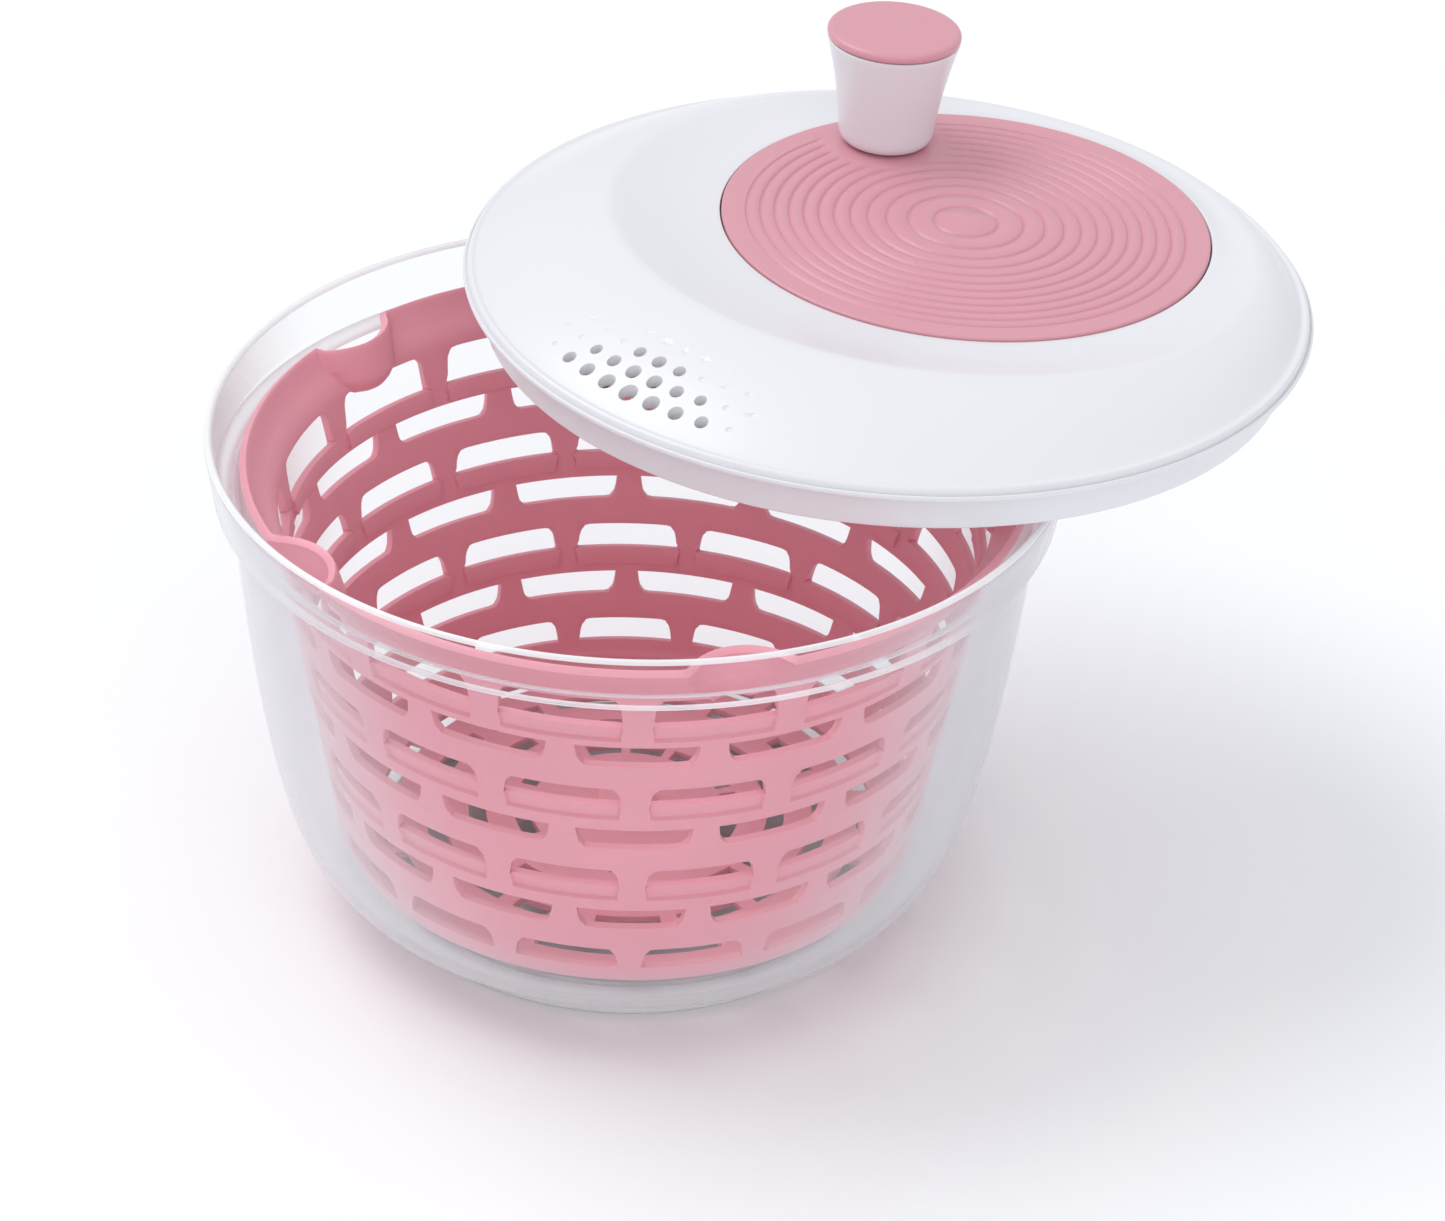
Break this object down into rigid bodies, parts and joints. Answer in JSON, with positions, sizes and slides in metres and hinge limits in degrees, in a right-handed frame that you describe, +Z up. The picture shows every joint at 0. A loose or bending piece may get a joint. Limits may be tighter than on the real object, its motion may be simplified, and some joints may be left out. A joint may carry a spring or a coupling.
{
  "type": "salad spinner",
  "caption": "Salad spinner: clear bowl, slotted spinning basket, and a lid with an off-centre crank disc and knob, held off the bowl.",
  "frame": {"origin": "centre of the foot's flat underside, on the bowl's axis", "axes": "+Z up along the bowl's axis; the lid is held off towards +X and +Y"},
  "size_m": [0.3113, 0.2966, 0.2114],
  "materials": {
    "clear_plastic": "clear polished moulding",
    "rose_plastic": "satin dusty rose moulding",
    "white_plastic": "satin white moulding",
    "acetal": "natural acetal moulding",
    "steel": "turned stainless steel"
  },
  "bodies": {
    "bowl": {"bowl": "clear_plastic", "foot_cap": "white_plastic", "pivot_pin": "steel"},
    "basket_seat": {"basket_bush": "acetal"},
    "basket": {"basket": "rose_plastic"},
    "lid": {"lid_shell": "white_plastic", "lid_base": "white_plastic", "lid_screw_1": "steel", "lid_screw_2": "steel", "lid_screw_3": "steel", "lid_screw_4": "steel", "shaft_bush": "acetal"},
    "crank": {"crank_disc": "rose_plastic", "ring_gear": "acetal", "disc_washer": "steel", "disc_screw": "steel", "knob_axle": "steel", "knob_screw": "steel"},
    "knob": {"knob_body": "white_plastic", "knob_cap": "rose_plastic"},
    "drive": {"drive_pinion": "acetal", "drive_shaft": "steel", "shaft_clip": "steel", "drive_plate": "white_plastic", "drive_screw": "steel"}
  },
  "joints": [
    {"name": "basket_spin", "type": "hinge", "parent": "bowl", "child": "basket_seat", "pos_m": [0, 0, 0.018], "axis": [0, 0, 1], "continuous": true},
    {"name": "basket_lift", "type": "slide", "parent": "basket_seat", "child": "basket", "axis": [0, 0, 1], "range_m": [0, 0.135]},
    {"name": "lid_lift", "type": "slide", "parent": "bowl", "child": "lid", "axis": [0, 0, 1], "range_m": [0, 0.27]},
    {"name": "crank_spin", "type": "hinge", "parent": "lid", "child": "crank", "pos_m": [0.09283, 0.07903, 0.17426], "axis": [0.029, 0.012, 0.9995], "continuous": true},
    {"name": "knob_spin", "type": "hinge", "parent": "crank", "child": "knob", "pos_m": [0.07076, 0.12907, 0.1743], "axis": [0.029, 0.012, 0.9995], "continuous": true},
    {"name": "drive_spin", "type": "hinge", "parent": "lid", "child": "drive", "pos_m": [0.06991, 0.05528, 0.1572], "axis": [0.029, 0.012, 0.9995], "continuous": true}
  ],
  "couplings": [
    {"joint": "drive_spin", "follows": "crank_spin", "ratio": 4.25},
    {"joint": "basket_lift", "follows": "lid_lift", "ratio": 0.5}
  ]
}
